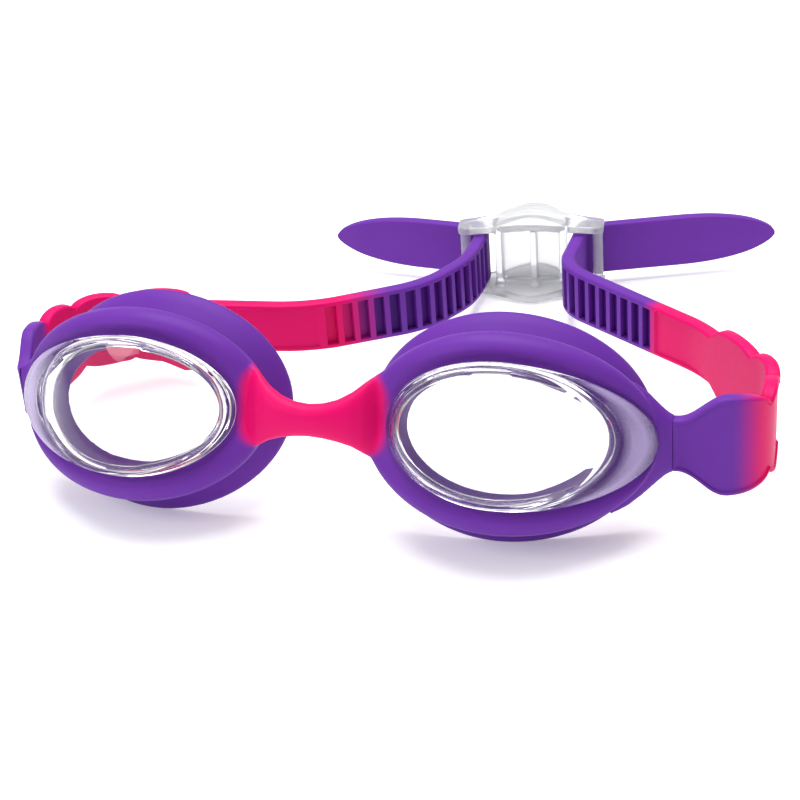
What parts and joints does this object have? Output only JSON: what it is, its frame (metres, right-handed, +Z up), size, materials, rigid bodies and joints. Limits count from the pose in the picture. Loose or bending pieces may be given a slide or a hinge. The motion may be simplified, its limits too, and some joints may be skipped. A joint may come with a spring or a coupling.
{
  "type": "swim goggles",
  "caption": "Soft one-piece swim goggles with clear lenses, a flexing nose bridge, scalloped temple arms and a ladder strap adjusted through a clear back buckle.",
  "frame": {"origin": "on the table plane, below the middle of the line between the two eye cup centres, with the goggles standing on the lower edges of the face seals and the buckle", "axes": "+X to the right of a viewer in front of the lenses, -Y the way the lenses face, +Y towards the back of the strap, +Z up"},
  "size_m": [0.17, 0.1561, 0.0451],
  "materials": {
    "purple_silicone": "satin moulded silicone",
    "pink_silicone": "satin moulded silicone",
    "clear_lens": "clear polished polycarbonate",
    "clear_buckle": "clear moulded polycarbonate"
  },
  "bodies": {
    "bridge": {"nose_bridge": "pink_silicone"},
    "right_eye": {"right_frame_ring": "purple_silicone", "right_face_seal": "purple_silicone", "right_lens": "clear_lens"},
    "left_eye": {"left_frame_ring": "purple_silicone", "left_face_seal": "purple_silicone", "left_lens": "clear_lens"},
    "right_strap": {"right_temple_arm": "purple_silicone", "right_side_strap": "pink_silicone", "right_ladder_strap": "purple_silicone"},
    "left_strap": {"left_temple_arm": "purple_silicone", "left_side_strap": "pink_silicone", "left_ladder_strap": "purple_silicone"},
    "right_tail": {"right_strap_tail": "purple_silicone"},
    "left_tail": {"left_strap_tail": "purple_silicone"},
    "buckle": {"strap_buckle": "clear_buckle"}
  },
  "joints": [
    {"name": "nose_flex_right", "type": "hinge", "parent": "bridge", "child": "right_eye", "pos_m": [0.0104, -0.0124, 0.0274], "axis": [0, 0, 1], "range_deg": [-6, 6], "stiffness_Nm_per_rad": 0.03},
    {"name": "nose_flex_left", "type": "hinge", "parent": "bridge", "child": "left_eye", "pos_m": [-0.0104, -0.0124, 0.0274], "axis": [0, 0, 1], "range_deg": [-6, 6]},
    {"name": "temple_flex_right", "type": "hinge", "parent": "right_eye", "child": "right_strap", "pos_m": [0.0704, 0.0032, 0.0194], "axis": [0, 0, 1], "range_deg": [-7.5, 7.5]},
    {"name": "temple_flex_left", "type": "hinge", "parent": "left_eye", "child": "left_strap", "pos_m": [-0.0704, 0.0032, 0.0194], "axis": [0, 0, 1], "range_deg": [-7.5, 7.5]},
    {"name": "buckle_swivel", "type": "hinge", "parent": "left_strap", "child": "buckle", "pos_m": [0.00266, 0.10563, 0.0099], "axis": [0, 0, 1], "range_deg": [-1.5, 1.5]},
    {"name": "strap_pull_right", "type": "slide", "parent": "right_strap", "child": "right_tail", "axis": [0.94, 0.3412, 0], "range_m": [0, 0.012]},
    {"name": "strap_pull_left", "type": "slide", "parent": "left_strap", "child": "left_tail", "axis": [-0.9946, 0.1038, 0], "range_m": [0, 0.012]}
  ],
  "couplings": [
    {"joint": "nose_flex_left", "follows": "nose_flex_right", "ratio": -1},
    {"joint": "temple_flex_right", "follows": "nose_flex_right", "ratio": -1.18},
    {"joint": "temple_flex_left", "follows": "nose_flex_right", "ratio": 1.12},
    {"joint": "buckle_swivel", "follows": "nose_flex_right", "ratio": -0.197}
  ]
}
